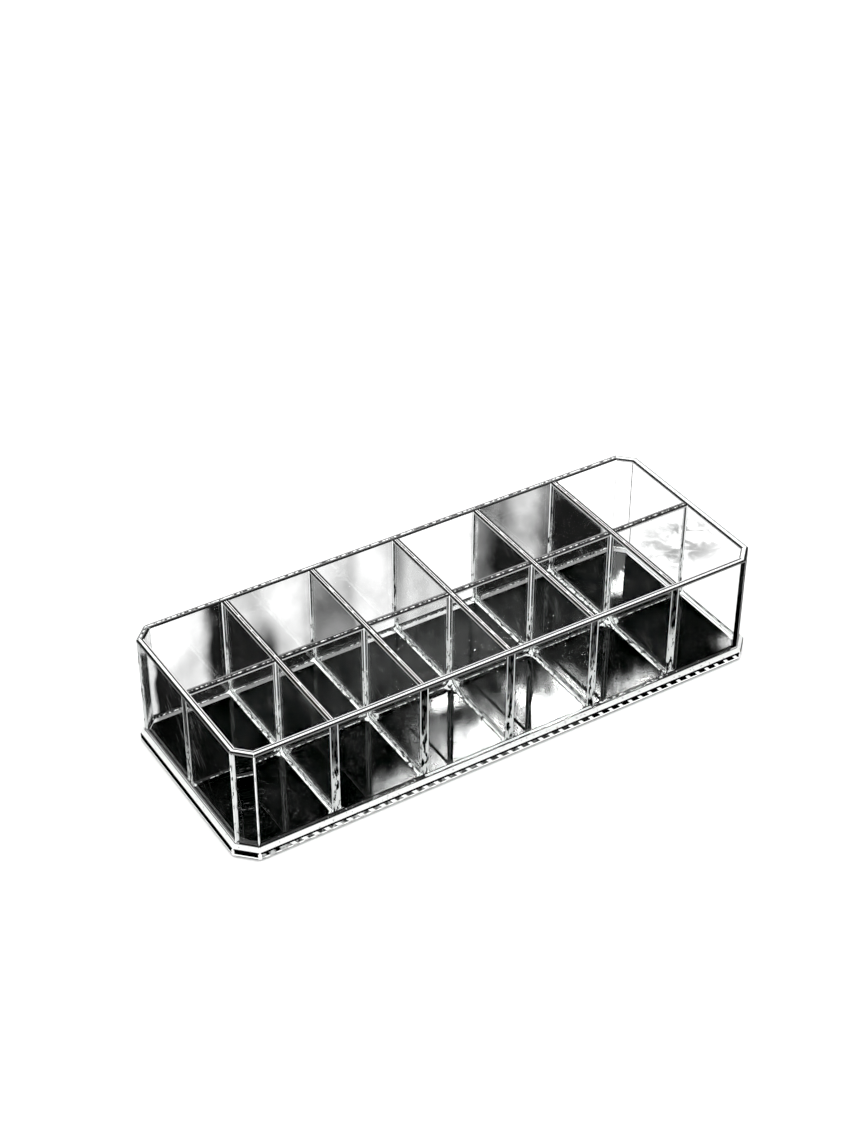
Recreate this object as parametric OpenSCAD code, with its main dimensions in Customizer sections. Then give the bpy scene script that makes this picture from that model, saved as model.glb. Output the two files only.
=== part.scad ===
// Clear cosmetics organizer: a low octagonal case of welded sheet on a base plate.
// One long divider and a row of cross dividers, slotted into each other, split it
// into two rows of equal compartments. A thin pad is stuck under the base plate.
// The origin is on the surface that the pad stands on, under the middle of the case.
// X runs along the case, and the front faces -Y.

/* [Case] */
// Length over the outside of the end panels
case_length = 244; // [180:1:320]
// Width over the outside of the front and back panels
case_width = 92; // [70:1:140]
// Height of the walls and dividers above the base plate
wall_height = 46; // [25:1:90]
// Thickness of the sheet that the walls and dividers are cut from
sheet = 3; // [2:0.1:4]
// Length that a corner strip takes off each of the two walls beside it
corner_cut = 6.7; // [5:0.1:12]

/* [Base] */
// Thickness of the base plate
base_thickness = 5; // [3:0.5:8]
// Width of the ledge that the base plate leaves round the outside of the walls
ledge = 2; // [1:0.1:5]
// How far the ledge slopes down from the walls to the edge of the base plate
ledge_drop = 2; // [0.5:0.1:2.5]
// Thickness of the pad under the base plate
pad_thickness = 1; // [0.5:0.1:3]
// Distance from the edge of the base plate to the edge of the pad
pad_inset = 4.5; // [2:0.1:8]

/* [Compartments] */
// Number of compartments along each of the two rows
columns = 6; // [3:1:8]
// Play on each side of a divider in the slot that it passes through
slot_play = 0.1; // [0.05:0.05:0.3]

/* [Hidden] */
// Underside of the base plate
plate_z = pad_thickness;
// Top of the base plate, which is the floor of every compartment
floor_z = plate_z + base_thickness;
// Distance between the middles of neighbouring cross dividers
column_pitch = (case_length - sheet) / columns;
// Lengths of the dividers between the walls that they are welded to
long_divider_length = case_length - 2 * sheet;
cross_divider_length = case_width - 2 * sheet;
// Width and height of every half-lap slot
slot_width = sheet + 2 * slot_play;
slot_height = wall_height / 2 + slot_play;
// How far a cut runs past the face that it opens
cut_overrun = 1;

// Clear sheet and black pad
acrylic = [0.90, 0.95, 0.95, 0.40];
pad_black = [0.05, 0.05, 0.05];

// The eight walls, anticlockwise from the front
WALLS = ["front_panel", "front_right_corner", "right_end_panel", "back_right_corner",
         "back_panel", "back_left_corner", "left_end_panel", "front_left_corner"];
// The cross dividers, from left to right
CROSS_DIVIDERS = [for (i = [1 : columns - 1]) str("cross_divider_", i)];

// Corners of the octagon that lies this far inside the outline of the walls,
// anticlockwise from the left end of the front. A negative inset lies outside it.
function octagon(inset) =
    let (x = case_length / 2 - inset,
         y = case_width / 2 - inset,
         leg = corner_cut - inset * (2 - sqrt(2)))
    [[leg - x, -y], [x - leg, -y], [x, leg - y], [x, y - leg],
     [x - leg, y], [leg - x, y], [-x, y - leg], [-x, leg - y]];

// Middle of a cross divider, counted from 1 at the left
function divider_x(i) = (i - columns / 2) * column_pitch;

// A slab of the octagon's outline
module octagon_slab(inset, z, thickness) {
    translate([0, 0, z])
        linear_extrude(thickness)
            polygon(octagon(inset));
}

// A block that stands on z = 0 with its middle on the Z axis
module standing_block(size) {
    translate([-size.x / 2, -size.y / 2, 0])
        cube(size);
}

// The plate slopes down from the outside of the walls to its own edge
module base_plate() {
    color(acrylic)
        hull() {
            octagon_slab(0, plate_z, base_thickness);
            octagon_slab(-ledge, plate_z, base_thickness - ledge_drop);
        }
}

module base_pad() {
    color(pad_black)
        octagon_slab(pad_inset - ledge, 0, pad_thickness);
}

// One wall of the ring, mitred to its neighbours on the corner's half angle
module wall(side) {
    next = (side + 1) % len(WALLS);
    outside = octagon(0);
    inside = octagon(sheet);
    color(acrylic)
        translate([0, 0, floor_z])
            linear_extrude(wall_height)
                polygon([outside[side], outside[next], inside[next], inside[side]]);
}

// The divider between the two rows, slotted from the top for the cross dividers
module long_divider() {
    color(acrylic)
        translate([0, 0, floor_z])
            difference() {
                standing_block([long_divider_length, sheet, wall_height]);
                for (i = [1 : columns - 1])
                    translate([divider_x(i), 0, wall_height - slot_height])
                        standing_block([slot_width, sheet + 2 * cut_overrun, slot_height + cut_overrun]);
            }
}

// A divider from front to back, slotted from below for the long divider
module cross_divider(i) {
    color(acrylic)
        translate([divider_x(i), 0, floor_z])
            difference() {
                standing_block([sheet, cross_divider_length, wall_height]);
                translate([0, 0, -cut_overrun])
                    standing_block([sheet + 2 * cut_overrun, slot_width, slot_height + cut_overrun]);
            }
}

base_plate();
base_pad();
for (side = [0 : len(WALLS) - 1])
    wall(side);
long_divider();
for (i = [1 : columns - 1])
    cross_divider(i);
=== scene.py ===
# Clear cosmetics organizer: cement-welded sheets on a base plate, over a thin black pad that gives the floors
# their painted shade.
import math
import random
from itertools import accumulate

import bmesh
import bpy
import numpy as np
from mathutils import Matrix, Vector


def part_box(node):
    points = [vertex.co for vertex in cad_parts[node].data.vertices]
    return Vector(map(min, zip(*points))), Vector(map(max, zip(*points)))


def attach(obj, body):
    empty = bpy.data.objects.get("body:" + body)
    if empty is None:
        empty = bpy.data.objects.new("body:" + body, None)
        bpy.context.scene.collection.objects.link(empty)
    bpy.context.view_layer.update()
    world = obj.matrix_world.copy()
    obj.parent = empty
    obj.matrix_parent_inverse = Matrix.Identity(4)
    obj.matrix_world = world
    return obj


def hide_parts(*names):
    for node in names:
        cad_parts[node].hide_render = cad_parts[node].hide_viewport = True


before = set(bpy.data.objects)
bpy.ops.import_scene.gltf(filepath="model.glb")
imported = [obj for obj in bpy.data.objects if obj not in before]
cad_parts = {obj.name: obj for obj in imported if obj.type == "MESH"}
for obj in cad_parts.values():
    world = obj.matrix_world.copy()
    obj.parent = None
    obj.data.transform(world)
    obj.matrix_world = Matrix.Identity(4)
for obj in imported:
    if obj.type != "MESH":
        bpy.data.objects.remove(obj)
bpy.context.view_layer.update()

MM = 0.001
WALLS = ["front_panel", "front_right_corner", "right_end_panel", "back_right_corner",
         "back_panel", "back_left_corner", "left_end_panel", "front_left_corner"]
CROSS_DIVIDERS = sorted(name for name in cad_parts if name.startswith("cross_divider_"))
columns = len(CROSS_DIVIDERS) + 1

# Levels and sheet thickness, read from the frame
floor_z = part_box("base_plate")[1].z
plate_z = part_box("base_plate")[0].z
rim_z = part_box("front_panel")[1].z
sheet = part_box("front_panel")[1].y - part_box("front_panel")[0].y
# Inner faces of the outer walls, and their ends at the cut corners
inside_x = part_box("right_end_panel")[0].x
inside_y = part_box("back_panel")[0].y
corner_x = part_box("back_panel")[1].x - (math.sqrt(2) - 1) * sheet
corner_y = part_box("right_end_panel")[1].y - (math.sqrt(2) - 1) * sheet

# Points closer than this are taken for one
touching = 0.001 * MM
# Least cosine between a face and a direction that it faces at a slant, roughly, and squarely
slanting = 0.1
facing = 0.9
squarely = 0.99

# Air left round each clear sheet, so that no two clear faces coincide
air_gap = 0.03 * MM
# How far the pad's top is pressed into the underside of the base plate
pad_bond = 2 * air_gap
# Rounding of the rims, and of the other edges of a sheet: at its foot and at its ends
rim_round = 0.2 * MM
foot_round = 0.3 * MM
edge_round = 0.22 * MM
# Rounding of the ledge, of the base plate's upright edges and of the pad
ledge_round = 0.42 * MM
plate_round = 0.8 * MM
pad_round = 0.35 * MM
# Depth below a rim's rounding at which a painted line runs along the sheet's faces, and its height
line_depth = 0.12 * MM
line_height = 0.62 * MM

# Legs of the cement beads: across the case, along it, at a compartment's corners, and upright
cross_bead = 1.1 * MM
long_bead = 0.3 * MM
corner_bead = (cross_bead + long_bead) / 2
upright_bead = 0.5 * MM
# Radius of the cement in the corners of a compartment, and its range where dividers cross
cement_climb = 2.4 * MM
crossing_climb = (3.0 * MM, 6.0 * MM)
climb_seed = 4
# Where a bead's thickness is set near a corner, along the floor and upright, as shares of that radius
FLOOR_SHARES = [0.12, 0.25, 0.45, 0.7, 1.0]
UPRIGHT_SHARES = [0.3, 0.5, 1.0]
# Width of the painted shade line along the toes of a bead
toe_shade_line = 0.36 * MM

# Share of white in the beads along each sort of sheet
BEAD_MILK = {"front": 0.0, "back": 0.45, "left": 0.1, "right": 0.92, "long": 0.5, "cross": 0.6}
# Share of white in the upright beads at the floor, and what it gains in each metre above it
upright_milk = 0.55
upright_milk_gain = 9
# Share of white in the welds under the sheets: the dividers and the right end, and the others
inner_foot_milk = 0.55
outer_foot_milk = 0.08
# The weld under the front panel, compartment by compartment
FRONT_FOOT_MILK = [0.08, 0.15, 0.9, 0.9, 0.4, 0.15]
# Share of white in the upright welds: of the dividers, and of the walls left and right of the middle
divider_end_milk = 0.5
left_end_milk = 0.65
right_end_milk = 0.0
# Share of white on the floors of the long divider's slots
slot_milk = 0.5

# Lines of highlight and shade painted along a rim as the light draws them, from its far edge to the one that
# faces front left: share of
# the rim's width, look, and share of white. The last entry is the line on the faces just below the rim.
RIM_LINES = {
    "cross": [(0.27, "dark_line", 0), (0.13, "bright_line", 0), (0.2, "rim", 0.34), (0.13, "bright_line", 0),
              (0.27, "dark_line", 0), (0, "bright_line", 0)],
    "long": [(0.26, "grey_line", 0), (0.2, "dark_line", 0), (0.22, "rim", 0.45), (0.32, "dark_line", 0),
             (0, "bright_line", 0)],
    "front": [(0.14, "bright_line", 0), (0.28, "dark_line", 0), (0.36, "bright_line", 0),
              (0.22, "dark_line", 0), (0, "grey_line", 0)],
    "left": [(0.12, "bright_line", 0), (0.24, "dark_line", 0), (0.4, "bright_line", 0),
             (0.24, "dark_line", 0), (0, "grey_line", 0)],
    "back": [(0.22, "grey_line", 0), (0.26, "rim", 0.5), (0.2, "grey_line", 0), (0.32, "dark_line", 0),
             (0, "faces", 0)],
    "right": [(0.16, "grey_line", 0), (0.54, "rim", 0.85), (0.3, "dark_line", 0), (0, "bright_line", 0)],
}
RIM_SORT = {"front_panel": "front", "front_left_corner": "left", "left_end_panel": "left",
            "back_left_corner": "back", "back_panel": "back", "back_right_corner": "right",
            "right_end_panel": "right", "front_right_corner": "right", "long_divider": "long"}

# The photograph's camera, with its lens in pixels of the photograph
camera_place = Vector((-0.38362, -0.59733, 0.59204))
camera_target = Vector((0.01866, 0.04977, 0.026))
focal_pixels = 2200
photo_long_side = 1134
sensor = 36
# The level way from the camera to what it looks at
view_way = Vector((camera_target.x - camera_place.x, camera_target.y - camera_place.y, 0))


# Nodes and objects

def new_object(name, data):
    made = bpy.data.objects.new(name, data)
    bpy.context.scene.collection.objects.link(made)
    return made


def set_inputs(tree, node, values):
    """Gives each input named in values its value, or links it to that socket."""
    for name, value in values.items():
        if isinstance(value, bpy.types.NodeSocket):
            tree.links.new(value, node.inputs[name])
        else:
            node.inputs[name].default_value = value


def add(tree, kind, values=None, **properties):
    """A node with its properties and inputs set."""
    node = tree.nodes.new(kind)
    for name, value in properties.items():
        setattr(node, name, value)
    set_inputs(tree, node, values or {})
    return node


def maths(tree, operation, *values, clamp=False):
    """The result of a calculation with numbers."""
    node = add(tree, "ShaderNodeMath", dict(enumerate(values)), operation=operation, use_clamp=clamp)
    return node.outputs[0]


def vector_maths(tree, operation, *values):
    """The result of a calculation with vectors."""
    node = add(tree, "ShaderNodeVectorMath", dict(enumerate(values)), operation=operation)
    return node.outputs["Value" if operation == "LENGTH" else "Vector"]


def ramp(tree, value, start, end, low=0.0, high=1.0, smooth=False):
    """Turns a value's range from start to end into the range from low to high, and keeps it there."""
    values = {"Value": value, "From Min": start, "From Max": end, "To Min": low, "To Max": high}
    kind = "SMOOTHSTEP" if smooth else "LINEAR"
    return add(tree, "ShaderNodeMapRange", values, interpolation_type=kind).outputs["Result"]


def is_above(tree, value, limit, softness):
    """1 where a value is above a limit, over a short ramp."""
    return ramp(tree, value, limit - softness, limit + softness)


def mixed(tree, share, first, second):
    """The first colour where the share is 0, and the second where it is 1."""
    node = add(tree, "ShaderNodeMix", {"Factor": share, "A": first, "B": second}, data_type="RGBA")
    return node.outputs["Result"]


def grey(level):
    return (level, level, level, 1)


def noise(tree, place, scale, detail, **others):
    """Soft noise, with what else its node takes."""
    values = {"Vector": place, "Scale": scale, "Detail": detail, **others}
    return add(tree, "ShaderNodeTexNoise", values).outputs


def coordinates(tree, place):
    return add(tree, "ShaderNodeSeparateXYZ", {0: place}).outputs


def object_place(tree):
    return tree.nodes.new("ShaderNodeTexCoord").outputs["Object"]


def attribute(tree, name):
    return add(tree, "ShaderNodeAttribute", attribute_name=name).outputs["Fac"]


def new_material(name):
    material = bpy.data.materials.new(name)
    material.use_nodes = True
    tree = material.node_tree
    return material, tree, tree.nodes["Principled BSDF"]


def bumped(tree, shader, height, strength, distance):
    """Bends the light on a surface as if it had this height."""
    bump = add(tree, "ShaderNodeBump", {"Height": height, "Strength": strength, "Distance": distance})
    set_inputs(tree, shader, {"Normal": bump.outputs[0]})


def group_tree(name, kind, inputs, outputs):
    """An empty node group with its sockets, given as {name: (type, default)} and {name: type}."""
    tree = bpy.data.node_groups.new(name, kind)
    for label, (sort, default) in inputs.items():
        socket = tree.interface.new_socket(label, in_out="INPUT", socket_type="NodeSocket" + sort)
        if default is not None:
            socket.default_value = default
    for label, sort in outputs.items():
        tree.interface.new_socket(label, in_out="OUTPUT", socket_type="NodeSocket" + sort)
    return tree, tree.nodes.new("NodeGroupInput").outputs, tree.nodes.new("NodeGroupOutput")


def put(tree, group, values):
    """A shader group placed in a material's tree."""
    return add(tree, "ShaderNodeGroup", values, node_tree=group).outputs


# Studio

# Angles above the horizon up to which the world is a pale backdrop, and from which it is a dark room
backdrop_top = math.radians(13)
room_foot = math.radians(20)
# Brightness of that room
dark_room = 0.03
# Softboxes, each turned to the middle of the floor: name, place, side and watts
SOFTBOXES = [
    ("overhead_softbox", (0, 0, 1.6), 2.6, 50),
    ("key_softbox", (-0.9, -1.0, 0.95), 0.8, 5)]
# Darkest and brightest levels of the photograph's contrast
black_level = 0.012
white_level = 0.88

# Darkness of the floor behind the case, by the place along the back panel in mm at which it is seen: through
# one sheet, low down through one sheet, and through more sheets. Each window has a few stops of its own.
ONE_SHEET_SHADE = {
    -122: 0.3, -114: 0.0, -101: 0.15, -94: 0.3, -88: 0.95, -80.5: 1.0,
    -80: 0.4, -66: 0.45, -56: 0.3, -43: 0.5,
    -39.5: 0.3, -23: 0.45, -17: 0.25, -2: 0.4,
    2: 0.1, 33: 0.1, 39: 0.4,
    41: 0.85, 52: 0.7, 62: 0.5, 74: 0.85, 80: 0.95}
ONE_SHEET_LOW_SHADE = {
    -122: 0.85, -105: 0.4, -94: 0.4, -88: 0.95, -80.5: 1.0,
    -62: 0.95, -56: 0.5, -48: 0.3, -43: 0.5,
    -39.5: 0.3, -23: 0.45, -16: 0.25, -2: 0.4,
    2: 0.1, 33: 0.1, 39: 0.4,
    41: 0.95, 56: 0.85, 67: 0.55, 76: 0.9, 80: 0.95}
MORE_SHEETS_SHADE = {
    -125: 1.0, -123.5: 0.1, -122: 1.0, -120.5: 0.5, -119.5: 1.0, -117: 0.9,
    -115.5: 0.05, -113.5: 0.1, -111.5: 1.0,
    -42: 1.0, -39.5: 0.7, -20: 0.8, -16: 0.3, -4: 0.2,
    0.5: 0.65, 8: 0.3, 14: 0.45, 20: 0.3, 39: 0.1,
    41.5: 0.8, 56: 0.95, 107: 1.0, 110: 0.3, 115: 0.05}
# How far to either side of the middle the stops reach
stops_reach = 125 * MM
# Heights on the back panel between which the low shade sets in
low_shade = (42 * MM, 18 * MM)
# Past this place along the back panel, the floor is pale through one sheet
pale_end = 80.2 * MM
# Places along the back panel outside which the floor is black through three sheets
three_sheets_pale = (-14 * MM, 40 * MM)
# How far the shades wander, and how strongly the half dark ones are mottled
wander_reach = 7 * MM
mottling = 3.4
# Strength of the shades, and distances behind the middle of the case over which they set in and end
shade_strength = 1.06
shade_start = (35 * MM, 50 * MM)
shade_end = (190 * MM, 150 * MM)
# Middle, half size and strength of the patch of painted shade behind the right end
right_patch = (0.149, 0.034, 0)
right_patch_spread = (0.028, 0.024, 1)
right_patch_strength = 0.62
# Paint of the pale floor, and of its shades
pale_paint = grey(0.8)
shade_paint = grey(0.012)
# How much the floor shines by itself, and what it gains behind a sheet and between these distances
floor_shine = 0.3
window_shine = 1.4
far_shine = 0.8
far_away = (0.9, 3.5)
# Half the side of the pale floor
floor_half = 6.0
# Share of the length away from the camera that the noise on the floor and on the mirrored lights still shows
floor_streaks = 0.45
light_streaks = 0.2

# Lights that the floors of the compartments mirror: name, where their mirror image lies on the floor as the
# camera sees it, half their width and depth, and strength
CLOUDS = [
    ("cloud_bay_2", -0.051, -0.045, 0.040, 0.038, 18),
    ("cloud_bay_3", -0.007, -0.037, 0.050, 0.042, 40),
    ("cloud_bay_3_low", -0.030, -0.044, 0.044, 0.052, 18),
    ("cloud_bay_3_left", -0.023, -0.028, 0.040, 0.064, 6),
    ("cloud_bay_3_top", -0.007, -0.009, 0.032, 0.022, 40),
    ("cloud_bay_4", 0.030, -0.040, 0.066, 0.064, 48),
    ("cloud_bay_4_left", 0.021, -0.028, 0.016, 0.060, 40),
    ("cloud_bay_4_start", 0.005, -0.023, 0.034, 0.044, 5),
    ("cloud_bay_4_side", 0.042, -0.022, 0.030, 0.032, 14),
    ("cloud_bay_5", 0.066, -0.044, 0.044, 0.038, 20),
    ("cloud_bay_6", 0.118, -0.041, 0.024, 0.024, 14),
    ("glow_middle", 0.012, 0.018, 0.180, 0.110, 1.2)]
# Height between one of these lights and the next
cloud_step = 0.2 * MM
# How ragged their edges are, between which shares of their half size they fade, and how steeply
light_raggedness = 0.8
light_fade = (0.5, 1.4)
light_fall = 2.0


def photo_camera():
    lens = bpy.data.cameras.new("photo_camera")
    lens.sensor_width = sensor
    lens.lens = focal_pixels * sensor / photo_long_side
    lens.clip_end = 20
    camera = new_object("photo_camera", lens)
    camera.location = camera_place
    camera.rotation_euler = (camera_target - camera_place).to_track_quat("-Z", "Y").to_euler()
    bpy.context.scene.camera = camera


def photo_contrast():
    """The photograph's hard contrast, and room for the light to pass all the sheets."""
    scene = bpy.context.scene
    scene.view_settings.view_transform = "Standard"
    scene.view_settings.use_curve_mapping = True
    scene.view_settings.curve_mapping.black_level = (black_level, black_level, black_level)
    scene.view_settings.curve_mapping.white_level = (white_level, white_level, white_level)
    scene.cycles.max_bounces = 40
    scene.cycles.transmission_bounces = 40
    scene.cycles.glossy_bounces = 24
    scene.cycles.transparent_max_bounces = 64
    scene.cycles.sample_clamp_indirect = 0
    scene.cycles.caustics_refractive = False
    scene.cycles.caustics_reflective = False
    scene.cycles.use_denoising = True


def studio_world():
    """A pale backdrop to just over the horizon, and a dark room above it."""
    world = bpy.data.worlds.new("studio")
    world.use_nodes = True
    tree = world.node_tree
    height = coordinates(tree, tree.nodes.new("ShaderNodeTexCoord").outputs["Generated"])["Z"]
    light = ramp(tree, height, math.sin(backdrop_top), math.sin(room_foot), 1.0, dark_room, smooth=True)
    set_inputs(tree, tree.nodes["Background"], {"Color": light})
    bpy.context.scene.world = world


def softbox(name, place, side, watts):
    light = bpy.data.lights.new(name, "AREA")
    light.shape = "SQUARE"
    light.size = side
    light.energy = watts
    lamp = new_object(name, light)
    lamp.location = place
    lamp.rotation_euler = Vector(place).to_track_quat("Z", "Y").to_euler()


def level_panel(name, half_width, half_depth):
    """A level rectangle round its own middle."""
    corners = [(-half_width, -half_depth, 0), (half_width, -half_depth, 0),
               (half_width, half_depth, 0), (-half_width, half_depth, 0)]
    mesh = bpy.data.meshes.new(name)
    mesh.from_pydata(corners, [], [(0, 1, 2, 3)])
    return new_object(name, mesh)


def on_back_panel(tree, place):
    """Where on the back panel a point of the floor is seen: along the panel, and up it."""
    away = coordinates(tree, vector_maths(tree, "SUBTRACT", place, (camera_place.x, camera_place.y, 0)))
    reach = inside_y - camera_place.y
    slant = maths(tree, "DIVIDE", away["X"], away["Y"])
    along = maths(tree, "MULTIPLY_ADD", slant, reach, camera_place.x)
    share = maths(tree, "DIVIDE", reach, away["Y"])
    height = maths(tree, "MULTIPLY_ADD", share, -camera_place.z, camera_place.z)
    return along, height


def drawn_away(tree, place, share):
    """A place for streaky noise: drawn out along the floor, away from the photograph's camera."""
    angle = math.atan2(view_way.x, view_way.y)
    turned = add(tree, "ShaderNodeVectorRotate", {"Vector": place, "Angle": angle}, rotation_type="Z_AXIS")
    return vector_maths(tree, "MULTIPLY", turned.outputs[0], (1, share, 1))


def shade_stops(tree, along, stops):
    """A soft profile through stops of {place along the case in mm: darkness}."""
    profile = add(tree, "ShaderNodeValToRGB", {"Fac": ramp(tree, along, -stops_reach, stops_reach)})
    profile.color_ramp.interpolation = "EASE"
    elements = profile.color_ramp.elements
    for i, (place, dark) in enumerate(stops.items()):
        position = (place * MM / stops_reach + 1) / 2
        stop = elements[i] if i < 2 else elements.new(position)
        stop.position = position
        stop.color = grey(dark)
    return profile.outputs["Color"]


def mottled(tree, shade, cloud):
    """Breaks a shade up where it is neither pale nor dark."""
    between = maths(tree, "MULTIPLY", shade, maths(tree, "SUBTRACT", 1.0, shade))
    swing = maths(tree, "SUBTRACT", cloud, 0.5)
    change = maths(tree, "MULTIPLY", swing, between)
    return maths(tree, "MULTIPLY_ADD", change, mottling, shade, clamp=True)


def sheets_passed(tree, path, count):
    """1 where the floor is seen through at least this many sheets. Each sheet has two faces to pass."""
    return maths(tree, "GREATER_THAN", path["Transmission Depth"], 2 * count - 0.5)


def behind_case(tree, place, cloud, path):
    """Darkness of the floor behind the case, for what is seen through one sheet or more."""
    along, height = on_back_panel(tree, place)
    low = ramp(tree, height, *low_shade, smooth=True)
    one_sheet = mixed(tree, low, shade_stops(tree, along, ONE_SHEET_SHADE),
                      shade_stops(tree, along, ONE_SHEET_LOW_SHADE))
    one_sheet = maths(tree, "MULTIPLY", one_sheet, maths(tree, "LESS_THAN", along, pale_end))
    pale_from, pale_to = three_sheets_pale
    off_middle = maths(tree, "ABSOLUTE", maths(tree, "SUBTRACT", along, (pale_from + pale_to) / 2))
    outside = maths(tree, "GREATER_THAN", off_middle, (pale_to - pale_from) / 2)
    black = maths(tree, "MULTIPLY", outside, sheets_passed(tree, path, 3))
    more_sheets = maths(tree, "MAXIMUM", shade_stops(tree, along, MORE_SHEETS_SHADE), black)
    return mottled(tree, mixed(tree, sheets_passed(tree, path, 2), one_sheet, more_sheets), cloud)


def right_end_shade_patch(tree, place):
    """A faint mottled patch of painted shade on the floor, seen through the right end."""
    centred = vector_maths(tree, "SUBTRACT", place, right_patch)
    away = vector_maths(tree, "LENGTH", vector_maths(tree, "DIVIDE", centred, right_patch_spread))
    near = ramp(tree, away, 1.0, 0.35, high=right_patch_strength, smooth=True)
    strokes = noise(tree, place, scale=95, detail=2, Distortion=1.2)["Fac"]
    return maths(tree, "MULTIPLY", near, ramp(tree, strokes, 0.42, 0.66, smooth=True))


def pale_floor():
    """A matt pale floor. Behind the case it is shaded for what is seen through the sheets."""
    floor = level_panel("pale_floor", floor_half, floor_half)
    paint, tree, shader = new_material("pale_floor")
    path = tree.nodes.new("ShaderNodeLightPath").outputs
    place = object_place(tree)
    through = sheets_passed(tree, path, 1)
    cloud = noise(tree, drawn_away(tree, place, floor_streaks), scale=55, detail=3)
    wander = vector_maths(tree, "SUBTRACT", cloud["Color"], (0.5, 0.5, 0.5))
    wandered = vector_maths(tree, "MULTIPLY_ADD", wander, (wander_reach, wander_reach, 0), place)
    behind = behind_case(tree, wandered, cloud["Fac"], path)
    depth = coordinates(tree, place)["Y"]
    region = maths(tree, "MULTIPLY", ramp(tree, depth, *shade_start), ramp(tree, depth, *shade_end))
    here = maths(tree, "MULTIPLY", region, through)
    shade = maths(tree, "MULTIPLY", maths(tree, "MULTIPLY", behind, shade_strength, clamp=True), here)
    patch = maths(tree, "MULTIPLY", right_end_shade_patch(tree, place), through)
    # Mirror images of the floor are dark
    mirrored = maths(tree, "GREATER_THAN", path["Glossy Depth"], 0.5)
    dark = maths(tree, "MAXIMUM", maths(tree, "MAXIMUM", shade, patch), mirrored)
    shaded = mixed(tree, dark, pale_paint, shade_paint)
    lift = maths(tree, "MULTIPLY_ADD", through, window_shine, floor_shine)
    far_lift = ramp(tree, vector_maths(tree, "LENGTH", place), *far_away, high=far_shine)
    set_inputs(tree, shader, {
        "Base Color": mixed(tree, through, shaded, grey(0)), "Emission Color": shaded,
        "Emission Strength": maths(tree, "ADD", lift, far_lift), "Roughness": 0.9, "Specular IOR Level": 0.0})
    floor.data.materials.append(paint)


def mirrored_light(order, name, x, y, width, depth, strength):
    """A soft light whose mirror image lies round (x, y) on the compartments' floor, as the camera sees it."""
    below = Vector((camera_place.x, camera_place.y, 2 * floor_z - camera_place.z))
    panel = level_panel(name, width, depth)
    panel.location = 2 * Vector((x, y, floor_z)) - below + Vector((0, 0, order * cloud_step))
    material, tree, shader = new_material(name)
    tree.nodes.remove(shader)
    centred = object_place(tree)
    length = vector_maths(tree, "LENGTH", vector_maths(tree, "MULTIPLY", centred, (1 / width, 1 / depth, 0)))
    ragged = noise(tree, drawn_away(tree, centred, light_streaks), scale=80, detail=1)["Fac"]
    edge = maths(tree, "MULTIPLY_ADD", ragged, light_raggedness, length)
    steep = maths(tree, "POWER", ramp(tree, edge, *light_fade, 1.0, 0.0, smooth=True), light_fall)
    light = add(tree, "ShaderNodeEmission", {"Strength": maths(tree, "MULTIPLY", steep, strength)})
    clear = add(tree, "ShaderNodeBsdfTransparent")
    both = add(tree, "ShaderNodeAddShader", {0: light.outputs[0], 1: clear.outputs[0]})
    set_inputs(tree, tree.nodes["Material Output"], {"Surface": both.outputs[0]})
    panel.data.materials.append(material)
    panel.visible_camera = panel.visible_diffuse = panel.visible_shadow = False


def studio():
    photo_contrast()
    photo_camera()
    studio_world()
    pale_floor()
    for box in SOFTBOXES:
        softbox(*box)
    for order, cloud in enumerate(CLOUDS):
        mirrored_light(order, *cloud)


# Effects that the materials share

# How abruptly a speck of white begins
speck_sharpness = 13.0
# Slant of the hairline scratches, their width to their length, and their depth beside the waves' height
scratch_slant = math.radians(35)
scratch_shape = 0.06
scratch_depth = 0.02


def specks_group():
    """White specks and streaks in clear cement: 1 where the cement is white."""
    tree, given, made = group_tree("cement_specks", "ShaderNodeTree", {
        "Place": ("Vector", None), "Size": ("Float", 1 * MM), "White Share": ("Float", 0.5)},
        {"White": "Float"})
    scale = maths(tree, "DIVIDE", 1.0, given["Size"])
    cloudy = noise(tree, given["Place"], scale, detail=3, Roughness=0.65)["Fac"]
    # The noise hardly leaves the range from 0.25 to 0.75
    clear_part = ramp(tree, given["White Share"], 0.0, 1.0, 0.75, 0.25)
    above = maths(tree, "SUBTRACT", cloudy, clear_part)
    white = maths(tree, "MULTIPLY_ADD", above, speck_sharpness, 0.5, clamp=True)
    set_inputs(tree, made, {"White": white})
    return tree


def ripple_group():
    """The long shallow waves of cast sheet, with a few hairline scratches, as a height, and the scratches'
    mask, which the clear faces also use for a painted glint.
    """
    tree, given, made = group_tree("sheet_ripple", "ShaderNodeTree", {
        "Place": ("Vector", None), "Wave": ("Float", 0.03), "Scratches": ("Float", 0.2)},
        {"Height": "Float", "Scratches And Glint": "Float"})
    wave = noise(tree, given["Place"], maths(tree, "DIVIDE", 1.0, given["Wave"]), detail=1)["Fac"]
    turned = add(tree, "ShaderNodeVectorRotate", {"Vector": given["Place"], "Angle": scratch_slant},
                 rotation_type="X_AXIS").outputs[0]
    drawn = vector_maths(tree, "MULTIPLY", turned, (1, 1, scratch_shape))
    hairs = noise(tree, drawn, scale=1500, detail=1)["Fac"]
    patches = noise(tree, given["Place"], scale=45, detail=2)["Fac"]
    wear_and_raggedness = maths(tree, "MULTIPLY", ramp(tree, hairs, 0.66, 0.74), ramp(tree, patches, 0.52, 0.66))
    scratches_and_glint = maths(tree, "MULTIPLY", wear_and_raggedness, given["Scratches"])
    height = maths(tree, "MULTIPLY_ADD", scratches_and_glint, -scratch_depth, wave)
    set_inputs(tree, made, {"Height": height, "Scratches And Glint": scratches_and_glint})
    return tree


# Materials

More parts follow.
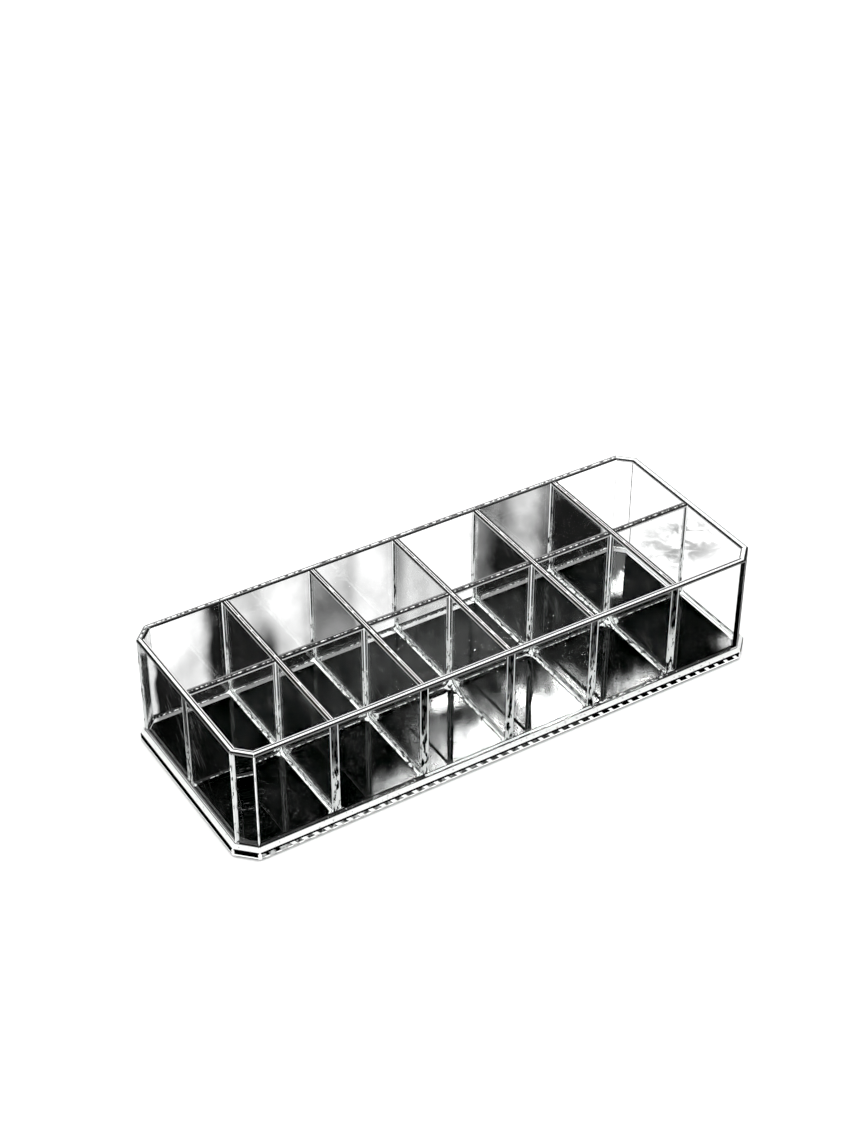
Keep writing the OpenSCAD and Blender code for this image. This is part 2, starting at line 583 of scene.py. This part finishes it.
CLEAR_TINT = (0.991, 0.995, 0.993, 1)
SHADOW_TINT = (0.965, 0.975, 0.97, 1)
ACRYLIC_IOR = 1.49
CEMENT_WHITE = (0.93, 0.95, 0.94, 1)
# The base plate's side is painted this white, and glows with it as painted light
SIDE_WHITE = (0.85, 0.87, 0.86, 1)
GROUND_WHITES = [(0.76, 0.77, 0.76, 1), (0.88, 0.89, 0.88, 1)]
FLECK_GREY = (0.35, 0.36, 0.35, 1)
# Blacks of the pad: painted shade that shows through the compartments' floors
PAD_SHADE_BLACKS = [grey(0.008), (0.055, 0.057, 0.056, 1)]
# The black pad, painted as it shows through the base plate's edge
EDGE_BLACK = grey(0.006)
# Heights between which an upright weld's specks fade, and the share of white above which they stay
calm_height = (22 * MM, 34 * MM)
milky_share = 0.62
# How far down the ledge its clear seam along the walls reaches, which is painted with the pad's black as it
# shows through
seam_drop = 0.3 * MM
# Softness of the lines on the base plate
line_softness = 0.06 * MM
# Heights above the plate's underside of the painted dark band's foot, and of the top of the painted shadow
# line at the foot
band_foot = 1.0 * MM
foot_line_top = 0.28 * MM
# Pitch of the painted dark dashes on the long sides of the base plate, and how far they lean in each unit of
# height
dash_pitch = 5.0 * MM
dash_lean = 0.9
# Places along the case between which the dashes turn from ragged to crisp, and give way to a solid band
crisp_marks = (-110 * MM, 40 * MM)
solid_band = (-100 * MM, -108 * MM)
# Share of the pitch between the dashes, and darkness of the upper and lower dashes, where ragged and where
# crisp
mark_gap = (0.42, 0.33)
upper_dark = (0.78, 1.0)
lower_dark = (0.5, 0.0)


def let_lamps_through(tree, shader):
    """Clear sheets cast hardly any shadow."""
    is_shadow = tree.nodes.new("ShaderNodeLightPath").outputs["Is Shadow Ray"]
    clear = add(tree, "ShaderNodeBsdfTransparent", {"Color": SHADOW_TINT})
    both = add(tree, "ShaderNodeMixShader", {"Fac": is_shadow, 1: shader.outputs[0], 2: clear.outputs[0]})
    set_inputs(tree, tree.nodes["Material Output"], {"Surface": both.outputs[0]})


def clear_acrylic(name, ripple, roughness, scuff, wave):
    material, tree, shader = new_material(name)
    wear_and_raggedness = put(tree, ripple, {"Place": object_place(tree), "Wave": wave, "Scratches": scuff})
    # The scratches' mask also makes them glow white: a painted glint on the clear faces
    set_inputs(tree, shader, {
        "Base Color": CLEAR_TINT, "IOR": ACRYLIC_IOR, "Transmission Weight": 1.0,
        "Roughness": maths(tree, "MULTIPLY_ADD", wear_and_raggedness["Scratches And Glint"], 0.3, roughness),
        "Emission Color": wear_and_raggedness["Scratches And Glint"], "Emission Strength": 1.0})
    bumped(tree, shader, wear_and_raggedness["Height"], strength=0.25, distance=0.1 * MM)
    let_lamps_through(tree, shader)
    return material


def inside_toes(tree):
    """1 on a bead inside the painted shade lines along its toes, and all over a weld."""
    inward = maths(tree, "SUBTRACT", 1.0, attribute(tree, "border"))
    from_toe = maths(tree, "MULTIPLY", inward, attribute(tree, "leg"))
    off_line = ramp(tree, from_toe, 0.8 * toe_shade_line, 1.2 * toe_shade_line)
    return maths(tree, "MAXIMUM", off_line, ramp(tree, inward, 0.2, 0.35))


def cement(name, specks, squeeze, size, level, glow, calm=0.0):
    """Cement in a weld or a bead, as white as its attribute milk says, and painted dark along a bead's toes
    as a line of shade.

    Its specks have this size, and are longer along an axis that is squeezed. The clear part between them has
    this level of grey. Its white glows by glow, as painted light. Calm is the share of their white that they
    lose above calm_height, except where milky.
    """
    material, tree, shader = new_material(name)
    milk = attribute(tree, "milk")
    place = object_place(tree)
    squeezed = vector_maths(tree, "MULTIPLY", place, squeeze)
    white = put(tree, specks, {"Place": squeezed, "Size": size, "White Share": milk})["White"]
    calmed = ramp(tree, coordinates(tree, place)["Z"], *calm_height, 1.0, 1 - calm, smooth=True)
    kept = maths(tree, "MAXIMUM", calmed, maths(tree, "GREATER_THAN", milk, milky_share))
    bright = maths(tree, "MULTIPLY", maths(tree, "MULTIPLY", white, kept), inside_toes(tree))
    colour = mixed(tree, bright, grey(level), CEMENT_WHITE)
    set_inputs(tree, shader, {"Base Color": colour, "Emission Color": colour, "Emission Strength": glow,
                              "Roughness": 0.3, "Specular IOR Level": 0.25})
    return material


def edge_line(name, level, glow):
    """A narrow polished facet, painted as a bright line of highlight or a dark line of shade, with a painted
    glow where glow is set.
    """
    material, tree, shader = new_material(name)
    set_inputs(tree, shader, {"Base Color": grey(level), "Emission Color": grey(level),
                              "Emission Strength": glow, "Roughness": 0.4, "Specular IOR Level": 0.2})
    return material


def ground_edge():
    """The sloping ledge: ground matt and white with small dark flecks, and along the walls a clear seam
    painted with the pad's black as it shows through.
    """
    material, tree, shader = new_material("ground_edge")
    place = object_place(tree)
    grain = noise(tree, place, scale=1800, detail=3)["Fac"]
    fleck = ramp(tree, noise(tree, place, scale=900, detail=2)["Fac"], 0.63, 0.7)
    pale = mixed(tree, grain, *GROUND_WHITES)
    flecked = mixed(tree, fleck, pale, FLECK_GREY)
    at_walls = is_above(tree, coordinates(tree, place)["Z"], floor_z - seam_drop, line_softness)
    set_inputs(tree, shader, {"Base Color": mixed(tree, at_walls, flecked, EDGE_BLACK), "Roughness": 0.5})
    bumped(tree, shader, grain, strength=0.3, distance=0.05 * MM)
    return material


def dark_dashes(tree, place, gap, shift):
    """A row of painted dark dashes that lean along the case, moved along by a shift."""
    leaning = maths(tree, "MULTIPLY_ADD", place["Z"], dash_lean, place["X"])
    turns = maths(tree, "DIVIDE", maths(tree, "ADD", leaning, shift), dash_pitch)
    past_gap = maths(tree, "SUBTRACT", maths(tree, "FRACT", turns), gap)
    return is_above(tree, past_gap, 0.0, 0.05)


def painted_side(name, dashed):
    """The base plate's side, painted: the black pad as it shows through its upper part, broken by dark dashes
    where dashed, a dark line of painted shadow at its foot, and a white that glows as painted light.
    """
    material, tree, shader = new_material(name)
    place = coordinates(tree, object_place(tree))
    band = is_above(tree, place["Z"], plate_z + band_foot, line_softness)
    foot = maths(tree, "SUBTRACT", 1.0, is_above(tree, place["Z"], plate_z + foot_line_top, line_softness))
    if dashed:
        crisp = ramp(tree, place["X"], *crisp_marks)
        gap = ramp(tree, crisp, 0, 1, *mark_gap)
        solid = ramp(tree, place["X"], *solid_band)
        # Noise that makes the painted dashes ragged
        wear_and_raggedness = noise(tree, object_place(tree), scale=420, detail=2)["Fac"]
        ragged = ramp(tree, wear_and_raggedness, 0.38, 0.56, low=0.5)
        even = ramp(tree, crisp, 0, 1, *upper_dark)
        strong = add(tree, "ShaderNodeMix", {"Factor": crisp, "A": ragged, "B": even}).outputs["Result"]
        upper = maths(tree, "MULTIPLY", band, maths(tree, "MAXIMUM", dark_dashes(tree, place, gap, 0.0), solid))
        upper = maths(tree, "MULTIPLY", upper, strong)
        lower = maths(tree, "MULTIPLY", maths(tree, "SUBTRACT", 1.0, band),
                      dark_dashes(tree, place, gap, dash_pitch / 2))
        lower = maths(tree, "MULTIPLY", lower, ramp(tree, crisp, 0, 1, *lower_dark))
        band = maths(tree, "MAXIMUM", upper, lower)
        foot = maths(tree, "MULTIPLY", foot, strong)
    # Painted pad black and shadow line on a white that glows as painted light
    colour = mixed(tree, maths(tree, "MAXIMUM", band, foot), SIDE_WHITE, EDGE_BLACK)
    set_inputs(tree, shader, {"Base Color": colour, "Emission Color": colour, "Emission Strength": 0.25,
                              "Roughness": 0.2})
    return material


def pad_foam():
    """Matt black closed-cell pad with a faint pressed-in grain. Its black is painted shade, which the
    compartments' floors show.
    """
    material, tree, shader = new_material("pad_foam")
    place = object_place(tree)
    cells = add(tree, "ShaderNodeTexVoronoi", {"Vector": place, "Scale": 1600}).outputs["Distance"]
    mottle = maths(tree, "MULTIPLY", cells, noise(tree, place, scale=60, detail=4)["Fac"])
    set_inputs(tree, shader, {"Base Color": mixed(tree, mottle, *PAD_SHADE_BLACKS), "Roughness": 0.9,
                              "Specular IOR Level": 0.2})
    bumped(tree, shader, cells, strength=0.4, distance=0.1 * MM)
    return material


def sheet_looks():
    """The materials of the sheets and the base plate, by look."""
    ripple = ripple_group()
    specks = specks_group()
    return {
        "faces": clear_acrylic("clear_faces", ripple, roughness=0.0, scuff=0.15, wave=0.04),
        "rim": cement("cut_rim", specks, (0.6, 0.4, 1), 1.3 * MM, 0.012, 0.0),
        # Painted lines: bright ones of highlight, grey and dark ones of shade
        "bright_line": edge_line("bright_line", 0.82, 0.08),
        "grey_line": edge_line("grey_line", 0.2, 0.0),
        "dark_line": edge_line("dark_line", 0.004, 0.0),
        # Welds whose white glows as painted light
        "flat_weld": cement("flat_weld", specks, (1, 0.65, 1), 1.4 * MM, 0.006, 0.6),
        "upright_weld": cement("upright_weld", specks, (1, 1, 0.3), 1.4 * MM, 0.006, 0.6, calm=0.9),
        "ground": ground_edge(),
        # Sides of the base plate, with the pad's black, a shadow line and a glow painted on
        "painted_side": painted_side("painted_side", dashed=False),
        "painted_long_side": painted_side("painted_long_side", dashed=True),
    }


# Sheets

def flat_body(node):
    """The node's body as a bmesh with one face for each flat side."""
    bm = bmesh.new()
    bm.from_mesh(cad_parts[node].data)
    bmesh.ops.remove_doubles(bm, verts=bm.verts, dist=touching)
    bmesh.ops.dissolve_limit(bm, angle_limit=math.radians(1), verts=bm.verts, edges=bm.edges, delimit=set())
    bm.normal_update()
    return bm


def pulled_in(bm, distance):
    """Moves every flat face of a closed body inwards by this distance."""
    moves = []
    for vertex in bm.verts:
        normals = []
        for face in vertex.link_faces:
            if all(face.normal.dot(other) < squarely for other in normals):
                normals.append(face.normal.copy())
        wanted = np.full(len(normals), -distance)
        moves.append(np.linalg.lstsq(np.array(normals), wanted, rcond=None)[0])
    for vertex, move in zip(bm.verts, moves):
        vertex.co += Vector(move)
    bm.normal_update()


def turned_edges(bm, least=20):
    """The convex edges where the surface turns by more than this many degrees."""
    return [edge for edge in bm.edges if edge.is_convex and edge.calc_face_angle() > math.radians(least)]


def looks_beside(edge):
    return {face.material_index for face in edge.link_faces}


def rounded(bm, edges, radius, look, segments=2):
    """Rounds edges, and gives the new faces a look of their own unless it is -1."""
    bmesh.ops.bevel(bm, geom=edges, offset=radius, offset_type="OFFSET", segments=segments,
                    profile=0.5, affect="EDGES", clamp_overlap=True, material=look)
    bm.normal_update()


def dressed(node, name, bm, materials):
    """Stores a finished body as the piece that stands for a node."""
    mesh = bpy.data.meshes.new(name)
    bm.to_mesh(mesh)
    bm.free()
    for material in materials:
        mesh.materials.append(material)
    piece = new_object(name, mesh)
    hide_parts(node)
    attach(piece, "root")


def look_numbers(materials):
    """Each look's place among the materials of a piece."""
    return {look: i for i, look in enumerate(materials)}


def cut(bm, faces, place, normal):
    """Cuts faces along a plane, in place."""
    parts = set(faces)
    for face in faces:
        parts.update(face.edges)
        parts.update(face.verts)
    bmesh.ops.bisect_plane(bm, geom=list(parts), dist=touching, plane_co=place, plane_no=normal)


def upward_faces(bm, look, lowest=0.0):
    """The faces with this look that face up, with their middle above a level."""
    return [face for face in bm.faces if face.material_index == look and face.normal.z > facing
            and face.calc_center_median().z > lowest]


def banded_rim(bm, broad, lines, looks, milk):
    """Splits a rim into painted lines of highlight and shade along the sheet, and adds the painted line on
    the faces below it.
    """
    side = -broad if broad.dot(view_way) > 0 else broad
    rim = upward_faces(bm, looks["rim"], rim_z - MM)
    reach = [vertex.co.dot(side) for face in rim for vertex in face.verts]
    width = max(reach) - min(reach)
    ends = [min(reach) + width * share for share in accumulate(share for share, look, white in lines[:-1])]
    for end in ends[:-1]:
        cut(bm, upward_faces(bm, looks["rim"]), side * end, side)
    for face in upward_faces(bm, looks["rim"], rim_z - MM):
        middle = face.calc_center_median().dot(side)
        share, look, white = next(line for line, end in zip(lines, ends) if middle < end + touching)
        face.material_index = looks[look]
        face[milk] = white
    top = rim_z - rim_round - line_depth
    for level in (top, top - line_height):
        broad_faces = [face for face in bm.faces if abs(face.normal.dot(broad)) > squarely]
        cut(bm, broad_faces, Vector((0, 0, level)), Vector((0, 0, 1)))
    share, look, white = lines[-1]
    for face in bm.faces:
        level = face.calc_center_median().z
        if abs(face.normal.dot(broad)) > squarely and level > top - line_height:
            face.material_index = looks[look if level < top else "dark_line"]
            face[milk] = white
    bm.normal_update()


def whiten_foot(bm, milk):
    """Splits the weld under the front panel at the cross dividers, each part with its own share of white."""
    splits = [(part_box(name)[0].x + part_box(name)[1].x) / 2 for name in CROSS_DIVIDERS]
    for place in splits:
        foot = [face for face in bm.faces if face.normal.z < -facing]
        cut(bm, foot, Vector((place, 0, 0)), Vector((1, 0, 0)))
    for face in bm.faces:
        if face.normal.z < -facing:
            middle = face.calc_center_median().x
            face[milk] = FRONT_FOOT_MILK[sum(middle > place for place in splits)]


def clear_sheet(node, materials):
    """A wall or divider: polished faces, a banded rim, and weld faces at its foot and ends."""
    looks = look_numbers(materials)
    bm = flat_body(node)
    # The broad faces' direction tells them from the ends
    broad = max(bm.faces, key=lambda face: face.calc_area()).normal.copy()
    pulled_in(bm, air_gap)
    milk = bm.faces.layers.float.new("milk")
    for face in bm.faces:
        if abs(face.normal.dot(broad)) > squarely:
            face.material_index = looks["faces"]
        elif face.normal.z > facing:
            face.material_index = looks["rim"]
            face[milk] = slot_milk
        elif face.normal.z < -facing:
            face.material_index = looks["flat_weld"]
            inner = node in CROSS_DIVIDERS or node == "right_end_panel"
            face[milk] = inner_foot_milk if inner else outer_foot_milk
        else:
            face.material_index = looks["upright_weld"]
            wall_milk = left_end_milk if face.calc_center_median().x < 0 else right_end_milk
            face[milk] = wall_milk if node in WALLS else divider_end_milk
    rim_edges = [edge for edge in turned_edges(bm) if looks_beside(edge) == {looks["rim"], looks["faces"]}]
    # The roundings are painted: dark lines of shade at the rims and feet, bright lines of highlight up the
    # ends
    rounded(bm, rim_edges, rim_round, looks["dark_line"])
    banded_rim(bm, broad, RIM_LINES[RIM_SORT.get(node, "cross")], looks, milk)
    plain = {looks["faces"], looks["flat_weld"], looks["upright_weld"]}
    at_foot = [edge for edge in turned_edges(bm) if looks_beside(edge) <= plain
               and all(vertex.co.z < floor_z + MM for vertex in edge.verts)]
    rounded(bm, at_foot, foot_round, looks["dark_line"])
    upright = [edge for edge in turned_edges(bm) if abs(edge.verts[0].co.z - edge.verts[1].co.z) > MM]
    rounded(bm, upright, edge_round, looks["bright_line"], segments=1)
    if node == "front_panel":
        whiten_foot(bm, milk)
    dressed(node, node + "_clear", bm, materials.values())


def clear_plate(materials):
    looks = look_numbers(materials)
    bm = flat_body("base_plate")
    pulled_in(bm, air_gap)
    for face in bm.faces:
        if abs(face.normal.z) > facing:
            face.material_index = looks["faces"]
        elif face.normal.z > slanting:
            face.material_index = looks["ground"]
        else:
            face.material_index = looks["painted_long_side" if abs(face.normal.y) > facing else "painted_side"]
    sides = {looks["painted_long_side"], looks["painted_side"]}
    upright = [edge for edge in turned_edges(bm) if looks_beside(edge) <= sides]
    # The upright roundings are painted as bright lines of highlight, the ledge's outer one as a dark line of
    # shade
    rounded(bm, upright, plate_round, looks["bright_line"])
    # Only the ledge's outer edge: its mitres turn by less, and its inner edge lies level with the floor
    outer = [edge for edge in turned_edges(bm, least=35) if looks["ground"] in looks_beside(edge)
             and not all(abs(vertex.co.z - floor_z) < MM for vertex in edge.verts)]
    rounded(bm, outer, ledge_round, looks["dark_line"], segments=1)
    dressed("base_plate", "base_plate_clear", bm, materials.values())


def foam_pad():
    bm = flat_body("base_pad")
    pulled_in(bm, air_gap)
    rounded(bm, turned_edges(bm), pad_round, -1)
    top = max(vertex.co.z for vertex in bm.verts)
    for vertex in bm.verts:
        if vertex.co.z > top - touching:
            vertex.co.z += pad_bond
    dressed("base_pad", "foam_pad", bm, [pad_foam()])


# Cement beads

def compartment(column, row):
    """Corners of a compartment's floor, clockwise from above, from column 0 and the front row."""
    left = -inside_x if column == 0 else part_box(CROSS_DIVIDERS[column - 1])[1].x
    right = inside_x if column == columns - 1 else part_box(CROSS_DIVIDERS[column])[0].x
    front = -inside_y if row == 0 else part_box("long_divider")[1].y
    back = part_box("long_divider")[0].y if row == 0 else inside_y
    corners = [(left, front), (left, back), (right, back), (right, front)]
    return [Vector((x, y, floor_z)) for x, y in corners]


def is_cut(corner):
    """Whether a corner of a compartment lies at one of the case's cut corners."""
    return abs(corner.x) > corner_x and abs(corner.y) > corner_y


def cut_ends(corner, clockwise_from):
    """The two points that stand for a cut corner, the one nearer the previous corner first."""
    on_end = Vector((corner.x, math.copysign(corner_y, corner.y), corner.z))
    on_side = Vector((math.copysign(corner_x, corner.x), corner.y, corner.z))
    return [on_end, on_side] if abs(clockwise_from.x - corner.x) < 10 * touching else [on_side, on_end]


def climb(distance, radius):
    """How much thicker a bead is at this distance from a corner."""
    if distance >= radius:
        return 0.0
    return radius - math.sqrt(radius ** 2 - (radius - distance) ** 2)


def from_corner(corner, end, milk, corner_milk, radius):
    """Points of a floor bead from a corner towards the next one, as the bead thins out."""
    way = (end - corner).normalized()
    thin = cross_bead if abs(way.y) > 0.5 else long_bead
    points = []
    for share in FLOOR_SHARES:
        step = share * radius
        points.append((corner + way * step, thin + climb(step, radius), milk if share > 0.5 else corner_milk))
    return points


def floor_bead_path(column, row, chance):
    """Points round a compartment's floor, each with its bead's leg and milkiness."""
    corners = compartment(column, row)
    # The sides in the order of the corners: left, back, right and front
    sides = ["left" if column == 0 else "cross", "long" if row == 0 else "back",
             "right" if column == columns - 1 else "cross", "front" if row == 0 else "long"]
    points = []
    for i, corner in enumerate(corners):
        before, after = corners[i - 1], corners[(i + 1) % len(corners)]
        milk_before, milk_after = BEAD_MILK[sides[i - 1]], BEAD_MILK[sides[i]]
        if is_cut(corner):
            first, last = cut_ends(corner, before)
            points += [(first, corner_bead, milk_before),
                       (first.lerp(last, 0.5), corner_bead, (milk_before + milk_after) / 2),
                       (last, corner_bead, milk_after)]
            continue
        # Where a cross divider meets the long divider, the cement is uneven
        crosses = abs(corner.y) < sheet and abs(corner.x) < inside_x - sheet
        radius = chance.uniform(*crossing_climb) if crosses else cement_climb
        corner_milk = max(milk_before, milk_after)
        points += from_corner(corner, before, milk_before, corner_milk, radius)[::-1]
        # The outline is mitred at the corner, so its leg there follows the diagonal of the hollow
        points.append((corner, corner_bead + (2 - math.sqrt(2)) * radius, corner_milk))
        points += from_corner(corner, after, milk_after, corner_milk, radius)
    return points


def upright_bead_path(corner):
    """Points up a compartment's corner, each with its bead's leg and milkiness."""
    steps = [share * cement_climb for share in UPRIGHT_SHARES] + [rim_z - floor_z - edge_round]
    return [(corner + Vector((0, 0, step)), upright_bead + climb(step, cement_climb),
             upright_milk + upright_milk_gain * step) for step in steps]


def path_mesh(name, paths, closed):
    """A mesh of edges only. Each path is a list of (place, leg, milk), with a turn for the profile."""
    points, edges, legs, milks, turns = [], [], [], [], []
    for turn, path in paths:
        first = len(points)
        for place, leg, milk in path:
            points.append(place)
            legs.append(leg)
            milks.append(milk)
            turns.append(turn)
        count = len(path)
        edges += [(first + i, first + (i + 1) % count) for i in range(count if closed else count - 1)]
    mesh = bpy.data.meshes.new(name)
    mesh.from_pydata(points, edges, [])
    for label, numbers in (("leg", legs), ("milk", milks), ("turn", turns)):
        mesh.attributes.new(label, "FLOAT", "POINT").data.foreach_set("value", numbers)
    return mesh


def bead_outline(steps=4):
    """Outline of a hollow fillet with legs of 1 m: x runs into the room, and y runs down the wall."""
    points = [(0, 0)]
    for i in range(steps + 1):
        turn = math.radians(90) * i / steps
        points.append((1 - math.sin(turn), math.cos(turn) - 1))
    data = bpy.data.curves.new("bead_outline", "CURVE")
    data.dimensions = "2D"
    spline = data.splines.new("POLY")
    spline.points.add(len(points) - 1)
    for point, (x, y) in zip(spline.points, points):
        point.co = (x, y, 0, 1)
    spline.use_cyclic_u = True
    return bpy.data.objects.new("bead_outline", data)


def bead_tree():
    """Sweeps an outline along the edges of a mesh, as large and as turned as each point says."""
    tree, given, made = group_tree("cement_bead", "GeometryNodeTree", {
        "Path": ("Geometry", None), "Outline": ("Object", None), "Cement": ("Material", None)},
        {"Bead": "Geometry"})
    leg, turn = (add(tree, "GeometryNodeInputNamedAttribute", {"Name": name}, data_type="FLOAT")
                 .outputs["Attribute"] for name in ("leg", "turn"))
    curve = add(tree, "GeometryNodeMeshToCurve", {"Mesh": given["Path"]}).outputs["Curve"]
    upright = add(tree, "GeometryNodeSetCurveNormal", {"Curve": curve}, mode="Z_UP").outputs["Curve"]
    turned = add(tree, "GeometryNodeSetCurveTilt", {"Curve": upright, "Tilt": turn}).outputs["Curve"]
    outline = add(tree, "GeometryNodeObjectInfo", {"Object": given["Outline"]}).outputs["Geometry"]
    # The outline's inner corner lies at 0, and its toes at 1
    reach = vector_maths(tree, "LENGTH", add(tree, "GeometryNodeInputPosition").outputs["Position"])
    values = {"Geometry": outline, "Name": "border", "Value": reach}
    marked = add(tree, "GeometryNodeStoreNamedAttribute", values, data_type="FLOAT", domain="POINT")
    sweep = add(tree, "GeometryNodeCurveToMesh", {
        "Curve": turned, "Profile Curve": marked.outputs["Geometry"], "Scale": leg, "Fill Caps": True})
    real = add(tree, "GeometryNodeRealizeInstances", {"Geometry": sweep.outputs["Mesh"]}).outputs["Geometry"]
    painted = add(tree, "GeometryNodeSetMaterial", {"Geometry": real, "Material": given["Cement"]})
    set_inputs(tree, made, {"Bead": painted.outputs["Geometry"]})
    return tree


def grown(name, start, tree, inputs):
    """Runs a Geometry Nodes tree on a mesh and keeps the result as a plain piece."""
    piece = new_object(name, start)
    modifier = piece.modifiers.new("grow", "NODES")
    modifier.node_group = tree
    for socket in tree.interface.items_tree:
        if socket.in_out == "INPUT" and socket.name in inputs:
            modifier[socket.identifier] = inputs[socket.name]
    bpy.context.view_layer.update()
    shown = piece.evaluated_get(bpy.context.evaluated_depsgraph_get())
    mesh = bpy.data.meshes.new_from_object(shown)
    piece.modifiers.remove(modifier)
    piece.data = mesh
    mesh.name = name
    bm = bmesh.new()
    bm.from_mesh(mesh)
    bmesh.ops.remove_doubles(bm, verts=bm.verts, dist=touching / 10)
    bmesh.ops.recalc_face_normals(bm, faces=bm.faces)
    bm.to_mesh(mesh)
    bm.free()
    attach(piece, "root")


def cement_beads(materials):
    tree = bead_tree()
    outline = bead_outline()
    rooms = [(column, row) for column in range(columns) for row in range(2)]
    chance = random.Random(climb_seed)
    floors = [(0.0, floor_bead_path(*room, chance)) for room in rooms]
    grown("floor_beads", path_mesh("floor_beads", floors, True), tree,
          {"Outline": outline, "Cement": materials["flat_weld"]})
    # From corner to corner of a compartment, the outline is turned by a quarter
    uprights = [(math.radians(90) * (1 - side), upright_bead_path(corner))
                for room in rooms for side, corner in enumerate(compartment(*room)) if not is_cut(corner)]
    grown("upright_beads", path_mesh("upright_beads", uprights, False), tree,
          {"Outline": outline, "Cement": materials["upright_weld"]})


# Assembly

studio()
materials = sheet_looks()
clear_plate(materials)
foam_pad()
for wall in WALLS:
    clear_sheet(wall, materials)
for divider in ["long_divider"] + CROSS_DIVIDERS:
    clear_sheet(divider, materials)
cement_beads(materials)
